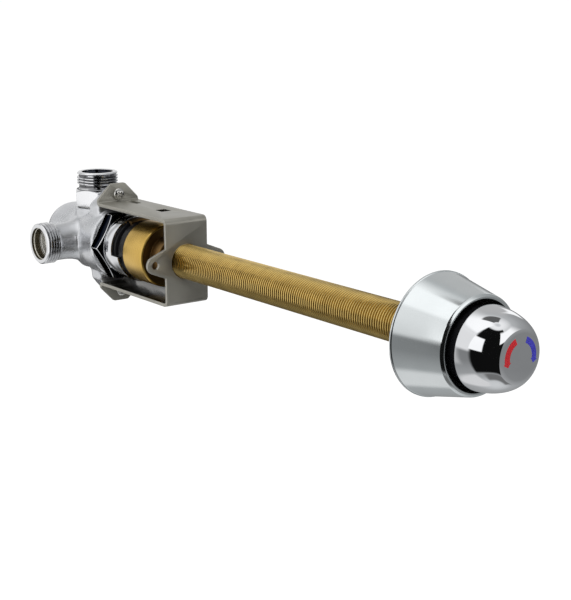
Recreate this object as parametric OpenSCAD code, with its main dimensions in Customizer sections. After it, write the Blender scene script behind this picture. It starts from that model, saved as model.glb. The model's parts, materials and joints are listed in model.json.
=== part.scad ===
// Wall-mounted shower mixer with a push button, fed through the wall.
// Frame: X across, Z up, Y along the tube. The wall and the knob lie towards -Y, the valve towards +Y.
// The origin is on the tube's axis, in the outer face of the bracket's front plate.

/* [Tube through the wall] */
// Outside diameter of the threaded tube, half-inch pipe thread
tube_d = 20.955; // [19:0.005:23]
// Bore of the threaded tube
tube_bore = 14.6; // [11:0.1:16]
// Distance from the bracket's front plate to the face of the wall
wall_reach = 220.6; // [120:0.1:300]
// How far the tube stands out of the wall, inside the flange
tube_proud = 15.4; // [12:0.1:18]

/* [Wall flange] */
// Radius of the flange where it meets the wall
flange_r = 31.1; // [29:0.1:40]
// Length of the flange out from the wall
flange_len = 29.6; // [27:0.1:34]
// Wall thickness of the flange
flange_wall = 1.2; // [0.8:0.1:2]
// Width of the rounded lip round the flange's mouth
flange_lip = 2.2; // [1.6:0.1:3]

/* [Knob] */
// Largest radius of the knob
knob_r = 20.9; // [19:0.1:23]
// Length of the chromed cap
knob_len = 21; // [18:0.1:26]
// Radius of the nearly flat face
knob_face_r = 12.6; // [12.3:0.1:14]
// Crown of the face
knob_crown = 0.7; // [0.3:0.1:1.5]
// Thickness of the cap
knob_wall = 1.4; // [1:0.1:1.8]
// Gap from the flange's mouth to the cap when nothing is pressed
knob_gap = 3.6; // [2:0.1:6]
// Clearance round the knob in the flange's mouth
mouth_clear = 1.4; // [1:0.1:2]
// Travel of the push button
push_travel = 6; // [3:0.1:7]
// Radius of the temperature arrows' centre line
arrow_r = 8.6; // [8:0.1:9.4]
// Width of the temperature arrows
arrow_w = 2.7; // [1.6:0.1:3]

/* [Bracket] */
// Width of the folded bracket
bracket_w = 29.4; // [27:0.1:34]
// Outside height of the folded bracket
bracket_h = 53.5; // [51:0.1:58]
// Depth from the front plate to the back of the rear tabs
bracket_depth = 82; // [81:0.1:90]
// Thickness of the sheet
sheet = 2; // [1.5:0.1:2.5]
// Outer radius of the folds
bend_r = 3.5; // [3:0.1:4.5]
// Distance between the two fixing holes
fixing_span = 44.3; // [42:0.1:52]
// Diameter of the fixing holes
fixing_hole = 5; // [4:0.1:6]
// Height of a rear tab above the flange it is folded from
tab_rise = 11.6; // [10.5:0.1:14]

/* [Valve body] */
// Outside diameter of the ports' three-quarter-inch thread
port_d = 26.44; // [24.5:0.01:28]
// Bore of the ports
port_bore = 20.4; // [18.4:0.1:21]
// Length of thread on a port
port_thread = 8.6; // [7:0.1:11]
// Distance from the tube's axis to a side port's rim
inlet_reach = 44.5; // [43:0.1:56]
// Height of the outlet's rim over the tube's axis
outlet_reach = 43.4; // [42:0.1:52]
// Distance from the front plate to the ports' axes
port_y = 106.2; // [105:0.1:115]
// Radius of the barrel behind the ports
barrel_r = 19.1; // [18.5:0.1:21]
// Radius of the barrel behind the nut
collar_r = 22.8; // [22:0.1:25]
// Bore for the cartridge
body_bore = 29; // [28:0.1:30]
// Size across flats of the outlet's hexagon
outlet_hex = 28; // [27.5:0.1:30]
// Size across flats of the bonnet nut
nut_hex = 41; // [40:0.1:44]

/* [Head] */
// Distance from the front plate to the front of the brass cap
cap_y = 21; // [18:0.1:24]
// Length of the brass cap
cap_len = 22; // [20:0.1:26]
// Radius of the brass cap
cap_r = 19.5; // [18.5:0.1:20.5]
// Radius of the black head behind the brass cap
head_r = 18.4; // [17.6:0.1:18.8]
// Radius of the stop collar
stop_r = 20.5; // [19.9:0.1:21.5]
// Half the angle of the collar's window
stop_half_angle = 98; // [90:1:105]
// Half the angle of the driver's stop key
key_half_angle = 25; // [15:1:30]

/* [Fits] */
// Radial clearance of a running fit
run_fit = 0.06; // [0.03:0.01:0.1]
// Radial clearance of a pressed or screwed fit
seat_fit = 0.05; // [0.02:0.01:0.1]
// Radial clearance where parts pass freely
free_fit = 0.4; // [0.3:0.05:0.6]

/* [Hidden] */
$fn = 96;

// Radii and half sizes
tube_r = tube_d / 2;
port_r = port_d / 2;
bore_r = port_bore / 2;
half_w = bracket_w / 2;
half_h = bracket_h / 2;
mouth_r = knob_r + mouth_clear;
flange_front_r = mouth_r + flange_lip;

// Places along the tube, from the wall out to the knob
wall_y = -wall_reach;
mouth_y = wall_y - flange_len;
tube_front = wall_y - tube_proud;
web_front = wall_y - 11.4;
web_rear = wall_y - 9;
hub_rear = wall_y - 4;
hub_r = tube_r + 3.5;
knob_rear = mouth_y - knob_gap;
knob_edge_y = knob_rear - knob_len;

// Knob: a quarter ellipse from the shoulder to the edge of the face
shoulder_lead = 2.8;
dome_inner_r = knob_face_r - 2.85;
dome_rx = knob_r - dome_inner_r;
dome_end = acos((knob_face_r - dome_inner_r) / dome_rx);
dome_ry = (knob_len + shoulder_lead) / sin(dome_end);
sleeve_r = knob_r - 1.6;
sleeve_wall = 1.7;
sleeve_len = 8.8;
carrier_web = 3;
carrier_plug = 4;
carrier_hub_r = 8.5;
carrier_hub_rear = knob_rear + 7;
carrier_hub_front = knob_rear - 13;
grub_y = knob_rear - 8.5;
grub_r = 1.5;
arrow_t = 0.6;
arrow_proud = 0.05;

// Places in the head, from the brass cap back to the nut
cap_rear = cap_y + cap_len;
cap_hub_len = 9;
cap_hub_y = cap_y - cap_hub_len;
cap_hub_r = tube_r + 2.5;
tube_grip = 12;
tube_rear = cap_y + tube_grip;
head_spigot_r = 15;
head_spigot_len = 6.7;
head_spigot_y = cap_rear - head_spigot_len;
head_len = 13;
stop_front = cap_rear + head_len;
stop_tongue = 7.5;
stop_wall = 8;
nut_front = stop_front + stop_wall;
nut_lip = 3;
nut_groove = 2.5;
nut_len = 12;
nut_rear = nut_front + nut_len;
nut_wall = 2.5;
nut_thread_r = nut_hex / 2 - nut_wall;
housing_flange = 3;
housing_spigot_r = 15.5;
housing_spigot_len = 9;
seat_y = nut_front + nut_lip + housing_flange;
housing_spigot_y = seat_y - housing_flange - housing_spigot_len;
key_setback = 7.5;
key_y = cap_rear + key_setback;
key_t = 3.2;
key_floor_r = 9.5;
key_tip_r = stop_r - 0.6;

// Cartridge, from its bore and the ports' axes back to the domed end
body_bore_r = body_bore / 2;
housing_r = body_bore_r - 0.1;
journal_r = housing_r - 2.4;
driver_lead = 5;
driver_front = cap_rear - driver_lead;
driver_tail = 8;
driver_end = nut_rear + driver_tail;
drum_front_wall = 6;
drum_tail = 9;
drum_end = port_y + drum_tail;
drum_wall = 2.2;
dog_w = 6;
dog_len = 3;
window_r = 6.5;
seat_len = 3.6;
seat_bore = 7;
piston_y = drum_end + free_fit + seat_len;
seal_t = 1.6;
seal_r = 8.6;
piston_t = 3.4;
piston_rib = 3;
spring_y = piston_y + seal_t + piston_t;
spring_closed = 8;
spring_len = push_travel + spring_closed;
spring_r = 7.6;
spring_wire = 0.55;
piston_nut_h = 4;
end_cap_y = spring_y + spring_len;
end_cap_t = 3;
housing_end = end_cap_y + end_cap_t;
bore_spare = 1;
bore_end = housing_end + bore_spare;
bore_cone = 5;
dome_setback = 3.5;
dome_y = housing_end - dome_setback;
gallery_w = 12;
gallery_rise = 2.1;
seal_wire = 0.7;
seal_groove_w = 2;
seal_setback = 4.5;
seal_places = [nut_rear + 1.5 * seal_setback, housing_end - seal_setback];

// Control rod
rod_r = 4;
rod_tail_r = 3;
rod_hex = 8;
hex_play = 0.3;
rod_front = carrier_hub_front + 2.2;
rod_hex_lead = 7;
rod_hex_len = 28;
rod_hex_y = cap_rear - rod_hex_lead;
rod_hex_end = rod_hex_y + rod_hex_len;

// Casting
port_neck_r = port_r - 1.22;
thread_chamfer = 0.6;
arm_root_x = 12;
arm_flare = 16;
lug_len = 12.5;
lug_top_half = 4.2;
lug_shoulder_z = half_h - 3.25;
boss_z = collar_r - 2;
boss_r = outlet_hex / 2 + 1.2;

// Outlet nipple
gasket_t = 1;
nipple_hex_z = boss_z + gasket_t;
nipple_hex_h = 0.8 * (outlet_reach - port_thread - nipple_hex_z);
nipple_neck_r = port_r - 0.7;
nipple_wall = 2;
nipple_spigot_z = body_bore_r + 2.3;

// Inlets: the sleeve into the cartridge, the check valve and the filter
sleeve_in = journal_r + 0.9;
inlet_inner_r = bore_r - 1.5;
check_r = bore_r - 0.1;
sleeve_len_in = 6.2;
check_in = sleeve_in + sleeve_len_in;
check_len = 0.47 * (inlet_reach - check_in);
check_x = check_in + check_len;
check_seat_t = 2;
check_guide_t = 2;
poppet_r = 6.2;
poppet_t = 1.6;
stem_r = 1.4;
check_spring_r = 3.1;
check_wire = 0.35;
filter_wall = 1.3;
filter_len = 0.59 * (inlet_reach - check_x);
filter_floor = 0.33 * (inlet_reach - check_x);
filter_floor_t = 0.8;
filter_pip_r = 1.2;
clip_t = 0.8;
clip_groove = 0.5;
clip_inner_r = bore_r - 0.6;
clip_x = inlet_reach - 2.2;
clip_gap = 30;

// Bracket: the folds to the rear tabs are tighter than those of the front plate
bend_inner = bend_r - sheet;
tab_bend_inner = 0.8;
tab_bend_r = tab_bend_inner + sheet;
tab_top = half_h + tab_rise;
tab_half_top = 5.2;
square_hole = [-0.1, 27.3, 7, 8];
slot_hole = [3.6, 64, 4.4, 13];
ear_r = fixing_hole / 2 + 3;
ear_root = 9.2;
fixing_x = fixing_span / 2;
screw_r = 2;
screw_head_r = 3.9;
tab_z = half_h + tab_bend_inner + screw_head_r + 0.05;
screw_head_h = 2.9;
screw_len = 8;

// A turned piece about the Y axis, from a profile of [radius, y] points
module turned(profile) rotate([-90, 0, 0]) rotate_extrude() polygon(profile);

// A round bar along Y
module bar_y(r, y0, y1) translate([0, y0, 0]) rotate([-90, 0, 0]) cylinder(r = r, h = y1 - y0);

// A prism along Y of an outline drawn in X and Z
module plate_y(y0, y1) translate([0, y1, 0]) rotate([90, 0, 0]) linear_extrude(y1 - y0) children();

// A prism along X of an outline drawn in Y and Z
module prism_x(x0, x1) translate([x0, 0, 0]) rotate([90, 0, 90]) linear_extrude(x1 - x0) children();

// A hexagon bar along Z, with a corner towards X, from its size across flats
module hex_bar(flats, h) cylinder(r = flats / 2 / cos(30), h = h, $fn = 6);

// Points on an ellipse about c, from angle a0 to a1
function arc(c, rx, ry, a0, a1, steps) =
  [for (i = [0:steps]) let (a = a0 + (a1 - a0) * i / steps) c + [rx * cos(a), ry * sin(a)]];

function unit(v) = v / norm(v);

// An outline with each corner rounded by its own radius
function rounded(pts, radii, steps = 5) = [
  for (i = [0:len(pts) - 1])
    let (p = pts[i], a = unit(pts[(i + len(pts) - 1) % len(pts)] - p), b = unit(pts[(i + 1) % len(pts)] - p),
      half = acos(a * b) / 2, r = radii[i], c = p + unit(a + b) * r / sin(half),
      s = p + a * r / tan(half) - c, e = p + b * r / tan(half) - c, a0 = atan2(s.y, s.x),
      turn = atan2(s.x * e.y - s.y * e.x, s * e))
    for (k = [0:r > 0 ? steps : 0]) r > 0 ? c + r * [cos(a0 + turn * k / steps), sin(a0 + turn * k / steps)] : p
];

// A pie slice in X and Z, with its point on the axis
module sector(r, a0, a1) polygon(concat([[0, 0]], arc([0, 0], r, r, a0, a1, 20)));

// A coil spring along Z: one closed tube of round wire
module coil(mean_r, wire_r, length, turns, steps = 16, sides = 6) {
  rings = turns * steps;
  rise = (length - 2 * wire_r) / rings;
  points = [for (i = [0:rings], j = [0:sides - 1])
    let (a = 360 * i / steps, b = 360 * j / sides, r = mean_r + wire_r * cos(b))
    [r * cos(a), r * sin(a), wire_r + rise * i + wire_r * sin(b)]];
  walls = [for (i = [0:rings - 1], j = [0:sides - 1]) let (k = (j + 1) % sides)
    [i * sides + j, i * sides + k, (i + 1) * sides + k, (i + 1) * sides + j]];
  ends = [[for (j = [sides - 1:-1:0]) j], [for (j = [0:sides - 1]) rings * sides + j]];
  polyhedron(points, concat(walls, ends), convexity = 10);
}

// Puts a piece drawn along Z on an inlet's axis, pointing out of the left (-1) or right (1) port
module inlet(side) translate([0, port_y, 0]) rotate([0, side * 90, 0]) children();

// One inlet arm, flared into the barrel, with a plain stretch of the thread's outside diameter
module arm() {
  thread_start = inlet_reach - port_thread;
  outline = concat(
    [[0, 0], [0, barrel_r]],
    arc([arm_root_x + arm_flare, barrel_r], arm_flare, barrel_r - port_neck_r, 180, 270, 10),
    [[thread_start - 0.8, port_neck_r], [thread_start, port_r], [inlet_reach - thread_chamfer, port_r],
     [inlet_reach, port_r - thread_chamfer], [inlet_reach, 0]]);
  rotate_extrude() polygon([for (p = outline) [p.y, p.x]]);
}

// Outline of a rear tab, standing on the flange's edge
module tab_outline() {
  polygon(rounded([[-half_w, 0], [-half_w, half_h + 1.8], [-tab_half_top, tab_top], [tab_half_top, tab_top],
    [half_w, half_h + 1.8], [half_w, 0]], [0, 3, 2, 2, 3, 0]));
}

// Outline of the lug behind a rear tab, with its top rounded about the screw
module lug_outline() {
  side = half_w - 0.6;
  top = tab_z + lug_top_half;
  polygon(rounded([[-side, 0], [-side, lug_shoulder_z], [-lug_top_half, top], [lug_top_half, top],
    [side, lug_shoulder_z], [side, 0]], [0, 4, 3.4, 3.4, 4, 0]));
}

// The casting: spigot, barrel and domed rear, two inlet arms, outlet boss and two lugs for the bracket
module valve_body() {
  color("silver") difference() {
    union() {
      turned([[0, seat_y], [nut_thread_r, seat_y], [nut_thread_r, nut_rear], [collar_r - 1, nut_rear],
        [collar_r, nut_rear + 1], [collar_r, port_y - 16], [barrel_r, port_y + 14],
        [barrel_r, dome_y], [0, dome_y]]);
      translate([0, dome_y, 0]) sphere(r = barrel_r);
      for (side = [-1, 1]) inlet(side) arm();
      translate([0, port_y, 0]) cylinder(r = boss_r, h = boss_z);
      for (turn = [0, 180]) rotate([0, turn, 0])
        plate_y(bracket_depth, bracket_depth + lug_len) lug_outline();
    }
    bar_y(body_bore_r, seat_y - 1, bore_end);
    turned([[0, bore_end - 1], [body_bore_r, bore_end - 1], [body_bore_r, bore_end], [0, bore_end + bore_cone]]);
    for (side = [-1, 1]) inlet(side) {
      cylinder(r = inlet_inner_r, h = inlet_reach);
      translate([0, 0, check_in]) cylinder(r = bore_r, h = inlet_reach);
      translate([0, 0, clip_x]) cylinder(r = bore_r + clip_groove, h = clip_t + seat_fit);
    }
    translate([0, port_y, 0]) cylinder(r = bore_r + nipple_wall + seat_fit, h = outlet_reach);
    translate([0, port_y, boss_z]) cylinder(r = outlet_hex / 2 / cos(30) + 0.3, h = barrel_r);
    translate([-gallery_w / 2, port_y, 0])
      cube([gallery_w, end_cap_y - port_y - 4, body_bore_r + gallery_rise]);
    for (turn = [0, 180]) rotate([0, turn, 0]) translate([0, 0, tab_z])
      bar_y(screw_r, bracket_depth - 1, bracket_depth + screw_len - 1);
  }
}

// Screwed-in outlet with a hexagon and a plain stretch of the thread's outside diameter
module outlet_nipple() {
  hex_top = nipple_hex_z + nipple_hex_h;
  thread_z = outlet_reach - port_thread;
  corner_r = outlet_hex / 2 / cos(30);
  color("lightgray") translate([0, port_y, 0]) difference() {
    union() {
      intersection() {
        translate([0, 0, nipple_hex_z]) hex_bar(outlet_hex, nipple_hex_h);
        translate([0, 0, nipple_hex_z]) cylinder(r1 = outlet_hex / 2 + nipple_hex_h * 1.6,
          r2 = outlet_hex / 2 - 0.4, h = nipple_hex_h);
      }
      rotate_extrude() polygon([[0, nipple_spigot_z], [bore_r + nipple_wall, nipple_spigot_z],
        [bore_r + nipple_wall, hex_top], [nipple_neck_r, hex_top], [nipple_neck_r, thread_z - 0.5],
        [port_r, thread_z], [port_r, outlet_reach - thread_chamfer], [port_r - thread_chamfer, outlet_reach],
        [0, outlet_reach]]);
    }
    cylinder(r = bore_r, h = outlet_reach + 1);
  }
}

// Sealing washer under the outlet's hexagon
module outlet_gasket() {
  color("dimgray") translate([0, port_y, boss_z]) difference() {
    cylinder(r = outlet_hex / 2 - 0.6, h = gasket_t);
    translate([0, 0, -1]) cylinder(r = bore_r + nipple_wall + seat_fit, h = gasket_t + 2);
  }
}

// Hexagon nut that holds the cartridge in the casting
module bonnet_nut() {
  hex_front = nut_front + nut_groove;
  corner_r = nut_hex / 2 / cos(30);
  edge = corner_r - nut_hex / 2 + 0.3;
  color("darkgray") difference() {
    union() {
      intersection() {
        translate([0, hex_front, 0]) rotate([-90, 0, 0]) hex_bar(nut_hex, nut_rear - hex_front);
        turned([[0, hex_front], [corner_r - edge, hex_front], [corner_r, hex_front + edge * tan(30)],
          [corner_r, nut_rear], [0, nut_rear]]);
      }
      bar_y(nut_thread_r + 1.4, nut_front, hex_front + 1);
    }
    bar_y(housing_spigot_r + seat_fit, nut_front - 1, nut_rear + 1);
    bar_y(nut_thread_r + seat_fit, nut_front + nut_lip, nut_rear + 1);
  }
}

// Collar that limits the temperature turn: its front edge is cut back over the upper side
module stop_collar() {
  a0 = 90 + stop_half_angle;
  a1 = 450 - stop_half_angle;
  color("lightgray") difference() {
    union() {
      bar_y(stop_r, stop_front, nut_front);
      intersection() {
        bar_y(stop_r, stop_front - stop_tongue, nut_front);
        plate_y(stop_front - stop_tongue, nut_front) sector(2 * stop_r, a0, a1);
      }
    }
    bar_y(head_r + seat_fit, stop_front - stop_tongue - 1, nut_front + 1);
  }
}

// Black head that carries the brass cap, with the slot for the stop key
module head_ring() {
  bore = journal_r + run_fit;
  color([0.09, 0.09, 0.1]) difference() {
    turned([[bore, head_spigot_y], [head_spigot_r, head_spigot_y], [head_spigot_r, cap_rear],
      [head_r, cap_rear], [head_r, nut_front], [housing_spigot_r + seat_fit, nut_front],
      [housing_spigot_r + seat_fit, housing_spigot_y - 0.4], [bore, housing_spigot_y - 0.4]]);
    plate_y(key_y - hex_play, key_y + key_t + hex_play)
      sector(2 * stop_r, 90 - stop_half_angle, 90 + stop_half_angle);
  }
}

// Brass cap that joins the tube to the head
module brass_cap() {
  tube_hole = tube_r + seat_fit;
  recess = head_spigot_r + seat_fit;
  floor_y = head_spigot_y - 0.1;
  color("goldenrod") turned([[tube_hole, cap_hub_y], [cap_hub_r - 0.8, cap_hub_y], [cap_hub_r, cap_hub_y + 0.8],
    [cap_hub_r, cap_y], [cap_r - 1.1, cap_y], [cap_r, cap_y + 1.1], [cap_r, cap_rear], [recess, cap_rear],
    [recess, floor_y], [rod_hex / 2 + 1.2, floor_y], [rod_hex / 2 + 1.2, tube_rear], [tube_hole, tube_rear]]);
}

// Brass tube through the wall, with the thread's outside diameter
module threaded_tube() {
  edge = 0.8;
  color("gold") turned([[tube_bore / 2, tube_front], [tube_r - edge, tube_front], [tube_r, tube_front + edge],
    [tube_r, tube_rear - edge], [tube_r - edge, tube_rear], [tube_bore / 2, tube_rear]]);
}

// Conical flange: thin shell, rounded mouth, web and hub screwed on the tube
function cone_r(y) = flange_front_r + (flange_r - flange_front_r) * (y - mouth_y) / flange_len;

module wall_flange() {
  lip = flange_lip / 2;
  inner = mouth_y + 3;
  hole = tube_r + seat_fit;
  color("silver") turned(concat(
    [[flange_r - 0.4, wall_y], [flange_r, wall_y - 0.4], [flange_r, wall_y - 1]],
    arc([flange_front_r - lip, mouth_y + lip], lip, lip, 0, -90, 5),
    [[mouth_r + 0.5, mouth_y], [mouth_r, mouth_y + 0.5], [mouth_r, inner],
     [cone_r(inner) - flange_wall, inner + flange_wall], [cone_r(web_front) - flange_wall, web_front],
     [hub_r, web_front], [hub_r, tube_front], [hole, tube_front], [hole, hub_rear], [hub_r, hub_rear],
     [hub_r, web_rear], [cone_r(web_rear) - flange_wall, web_rear], [flange_r - flange_wall, wall_y]]));
}

// Bush in the tube's front end, which guides the rod
module guide_bush() {
  color([0.12, 0.12, 0.13]) turned([[rod_r + run_fit, tube_front - 2], [tube_r - 0.8, tube_front - 2],
    [tube_r - 0.5, tube_front - 1.7], [tube_r - 0.5, tube_front], [tube_bore / 2 - seat_fit, tube_front],
    [tube_bore / 2 - seat_fit, tube_front + 13], [tube_bore / 2 - 1, tube_front + 14],
    [rod_r + run_fit, tube_front + 14]]);
}

// A quarter of a fold in Y and Z
module fold_quarter(centre, quadrant, inner_r) {
  translate(centre) intersection() {
    difference() { circle(r = inner_r + sheet); circle(r = inner_r); }
    rotate(quadrant * 90) square(2 * (inner_r + sheet));
  }
}

// Section of the bracket's upper half, in Y and Z
module fold_outline() {
  square([sheet, half_h - bend_r]);
  fold_quarter([bend_r, half_h - bend_r], 1, bend_inner);
  translate([bend_r, half_h - sheet]) square([bracket_depth - bend_r - tab_bend_r, sheet]);
  fold_quarter([bracket_depth - tab_bend_r, half_h + tab_bend_inner], 3, tab_bend_inner);
  translate([bracket_depth - sheet, half_h + tab_bend_inner]) square([sheet, tab_rise - tab_bend_inner]);
}

// Outline of the two fixing ears, each a round end run out to the plate by its tangents
module ear_outline() {
  root = [half_w - 0.5, ear_root] - [fixing_x, 0];
  touch = atan2(root.y, root.x) - acos(ear_r / norm(root));
  tangent = [fixing_x, 0] + ear_r * [cos(touch), sin(touch)];
  for (side = [-1, 1]) {
    translate([side * fixing_x, 0]) circle(r = ear_r);
    polygon([[0, ear_root], [side * (half_w - 0.5), ear_root], [side * tangent.x, tangent.y],
      [side * fixing_x, 0], [side * tangent.x, -tangent.y], [side * (half_w - 0.5), -ear_root], [0, -ear_root]]);
  }
}

// Folded bracket: front plate with two fixing ears, two flanges and a rear tab on each
module bracket() {
  color("darkkhaki") difference() {
    union() {
      for (turn = [0, 180]) rotate([0, turn, 0]) intersection() {
        prism_x(-half_w, half_w) fold_outline();
        plate_y(-1, bracket_depth + 1) tab_outline();
      }
      plate_y(0, sheet) ear_outline();
    }
    bar_y(tube_r + free_fit, -1, sheet + 1);
    for (side = [-1, 1]) translate([side * fixing_x, 0, 0]) bar_y(fixing_hole / 2, -1, sheet + 1);
    for (turn = [0, 180]) rotate([0, turn, 0]) translate([0, 0, tab_z])
      bar_y(screw_r + 0.25, bracket_depth - sheet - 1, bracket_depth + 1);
    for (hole = [square_hole, slot_hole]) translate([hole[0], hole[1], half_h - sheet - 1])
      cube([hole[2], hole[3], sheet + 2]);
  }
}

// Pan-head screw with a cross recess, on the upper (0) or lower (180) tab
module bracket_screw(turn) {
  head_y = bracket_depth - sheet;
  color("gainsboro") rotate([0, turn, 0]) translate([0, 0, tab_z]) difference() {
    turned(concat([[0, head_y + screw_len], [screw_r - seat_fit, head_y + screw_len],
      [screw_r - seat_fit, head_y], [screw_head_r, head_y], [screw_head_r, head_y - 0.9]],
      arc([0, head_y - 0.9], screw_head_r, screw_head_h - 0.9, -15, -90, 6)));
    for (turn2 = [45, 135]) rotate([0, turn2, 0])
      translate([-2, head_y - screw_head_h - 1, -0.45]) cube([4, 2.7, 0.9]);
  }
}
module bracket_screw_top() bracket_screw(0);
module bracket_screw_bottom() bracket_screw(180);

// Cartridge housing with the inlet windows, the outlet window and two seal grooves
module cartridge_housing() {
  color([0.16, 0.16, 0.17]) difference() {
    turned([[journal_r + run_fit, housing_spigot_y], [housing_spigot_r, housing_spigot_y],
      [housing_spigot_r, seat_y - housing_flange], [nut_thread_r - 0.1, seat_y - housing_flange],
      [nut_thread_r - 0.1, seat_y], [housing_r, seat_y], [housing_r, housing_end],
      [journal_r + run_fit, housing_end]]);
    for (side = [-1, 1]) inlet(side) {
      cylinder(r = window_r, h = body_bore);
      translate([0, 0, sleeve_in]) cylinder(r = inlet_inner_r, h = body_bore);
    }
    translate([-gallery_w / 2, piston_y + 2, 0]) cube([gallery_w, end_cap_y - piston_y - 6, body_bore]);
    for (y = seal_places) difference() {
      bar_y(housing_r + 1, y - seal_groove_w / 2, y + seal_groove_w / 2);
      bar_y(housing_r - 2 * seal_wire + 0.1, y - seal_groove_w, y + seal_groove_w);
    }
  }
}

// Plug in the cartridge's rear end, which the return spring stands on
module cartridge_end_cap() {
  rim = journal_r - seat_fit;
  color([0.16, 0.16, 0.17]) turned([[0, end_cap_y + 1.8], [rod_tail_r + 1, end_cap_y + 1.8],
    [rod_tail_r + 1, end_cap_y], [rim, end_cap_y], [rim, housing_end], [0, housing_end]]);
}

// Two O-rings between the cartridge and the casting
module cartridge_seals() {
  color("black") for (y = seal_places) translate([0, y, 0]) rotate([-90, 0, 0]) rotate_extrude()
    translate([housing_r - seal_wire + 0.12, 0]) circle(r = seal_wire - 0.05, $fn = 24);
}

// Brass seat that the piston closes on
module valve_seat() {
  color("goldenrod") turned([[seat_bore, piston_y - seat_len], [journal_r - seat_fit, piston_y - seat_len],
    [journal_r - seat_fit, piston_y], [seat_bore + 0.5, piston_y], [seat_bore, piston_y - 0.5]]);
}

// Short sleeve that leads an inlet into the cartridge
module inlet_sleeve(side) {
  color("goldenrod") inlet(side) translate([0, 0, sleeve_in]) difference() {
    cylinder(r = inlet_inner_r - 0.1, h = check_in - sleeve_in - 0.2);
    translate([0, 0, -1]) cylinder(r = window_r, h = check_in);
  }
}
module inlet_sleeve_left() inlet_sleeve(-1);
module inlet_sleeve_right() inlet_sleeve(1);

// Strainer in front of a check valve: a ring with a stepped rim and a perforated floor
module inlet_filter(side) {
  pitch = 2.7;
  inner_r = check_r - filter_wall;
  color("lightgray") inlet(side) translate([0, 0, check_x]) {
    difference() {
      cylinder(r = check_r, h = filter_len);
      cylinder(r = inner_r, h = filter_floor - filter_floor_t);
      translate([0, 0, filter_floor]) cylinder(r = inner_r, h = filter_len);
      translate([0, 0, filter_len - 1]) cylinder(r = inner_r + 0.5, h = 2);
      for (i = [-2:2], j = [-2:2]) if (abs(i + j) < 3 && abs(i) + abs(j) > 0)
        translate([pitch * (i + j / 2), pitch * j * cos(30), -1]) cylinder(r = 0.95, h = filter_len, $fn = 24);
    }
    translate([0, 0, filter_floor - filter_floor_t]) cylinder(r = filter_pip_r, h = filter_floor_t + 1);
  }
}
module inlet_filter_left() inlet_filter(-1);
module inlet_filter_right() inlet_filter(1);

// Open ring in a groove just inside a port's mouth
module inlet_clip(side) {
  outer_r = bore_r + clip_groove - seat_fit;
  color("lightgray") inlet(side) translate([0, 0, clip_x]) linear_extrude(clip_t) difference() {
    circle(r = outer_r);
    circle(r = clip_inner_r);
    polygon([[0, 0], 2 * outer_r * [cos(clip_gap / 2), sin(clip_gap / 2)],
      2 * outer_r * [cos(clip_gap / 2), -sin(clip_gap / 2)]]);
  }
}
module inlet_clip_left() inlet_clip(-1);
module inlet_clip_right() inlet_clip(1);

// Check valve housing: seat at the outer end, stem guide at the inner end
module check_valve(side) {
  color("ivory") inlet(side) translate([0, 0, check_in]) difference() {
    cylinder(r = check_r, h = check_len);
    translate([0, 0, check_guide_t]) cylinder(r = poppet_r + 1.5, h = check_len - check_guide_t - check_seat_t);
    translate([0, 0, check_guide_t]) cylinder(r = poppet_r - 1.3, h = check_len);
    translate([0, 0, -1]) cylinder(r = stem_r + run_fit, h = check_len);
    for (a = [45:90:315]) rotate(a) translate([4.6, 0, -1]) cylinder(r = 1.9, h = check_len / 2);
  }
}
module check_valve_left() check_valve(-1);
module check_valve_right() check_valve(1);

// Check valve poppet on its stem
module check_poppet(side) {
  face = check_len - check_seat_t;
  color("white") inlet(side) translate([0, 0, check_in]) rotate_extrude() polygon([[0, 0.4], [stem_r, 0.4],
    [stem_r, face - poppet_t], [poppet_r, face - poppet_t], [poppet_r, face], [0, face]]);
}
module check_poppet_left() check_poppet(-1);
module check_poppet_right() check_poppet(1);

// Spring that closes a check valve
module check_spring(side) {
  color("gainsboro") inlet(side) translate([0, 0, check_in + check_guide_t])
    coil(check_spring_r, check_wire, check_len - check_guide_t - check_seat_t - poppet_t, 4);
}
module check_spring_left() check_spring(-1);
module check_spring_right() check_spring(1);

// Driver: turned by the rod's hexagon, which slides in it, and coupled to the drum by a tongue
module driver() {
  hex_r = (rod_hex / 2 + hex_play) / cos(30);
  color([0.2, 0.2, 0.21]) difference() {
    union() {
      bar_y(journal_r, driver_front, driver_end);
      intersection() {
        bar_y(journal_r - 0.6, driver_end - 1, driver_end + dog_len);
        plate_y(driver_end - 1, driver_end + dog_len) square([2 * journal_r, dog_w], center = true);
      }
    }
    translate([0, driver_front - 1, 0]) rotate([-90, 0, 0])
      cylinder(r = hex_r, h = rod_hex_end + push_travel + 2 - driver_front, $fn = 6);
    bar_y(rod_tail_r + free_fit, driver_front, driver_end + dog_len + 1);
    plate_y(key_y - seat_fit, key_y + key_t + seat_fit) difference() {
      sector(2 * journal_r, 90 - key_half_angle - 0.5, 90 + key_half_angle + 0.5);
      circle(r = key_floor_r);
    }
  }
}

// Key of the driver, which meets the ends of the collar's window
module stop_key() {
  color("goldenrod") plate_y(key_y, key_y + key_t) difference() {
    intersection() {
      sector(2 * stop_r, 90 - key_half_angle, 90 + key_half_angle);
      circle(r = key_tip_r);
    }
    circle(r = key_floor_r + seat_fit);
  }
}

// Drum whose slot opens one inlet as it closes the other
module mixing_drum() {
  front = driver_end + 0.1;
  inner = journal_r - drum_wall;
  color("peru") difference() {
    turned([[rod_tail_r + free_fit, front], [journal_r, front], [journal_r, drum_end], [inner, drum_end],
      [inner, front + drum_front_wall], [rod_tail_r + free_fit, front + drum_front_wall]]);
    plate_y(front - 1, driver_end + dog_len + 0.2) square([2.2 * journal_r, dog_w + 0.2], center = true);
    plate_y(port_y - window_r, port_y + window_r) sector(2 * journal_r, 180, 360);
  }
}

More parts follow.
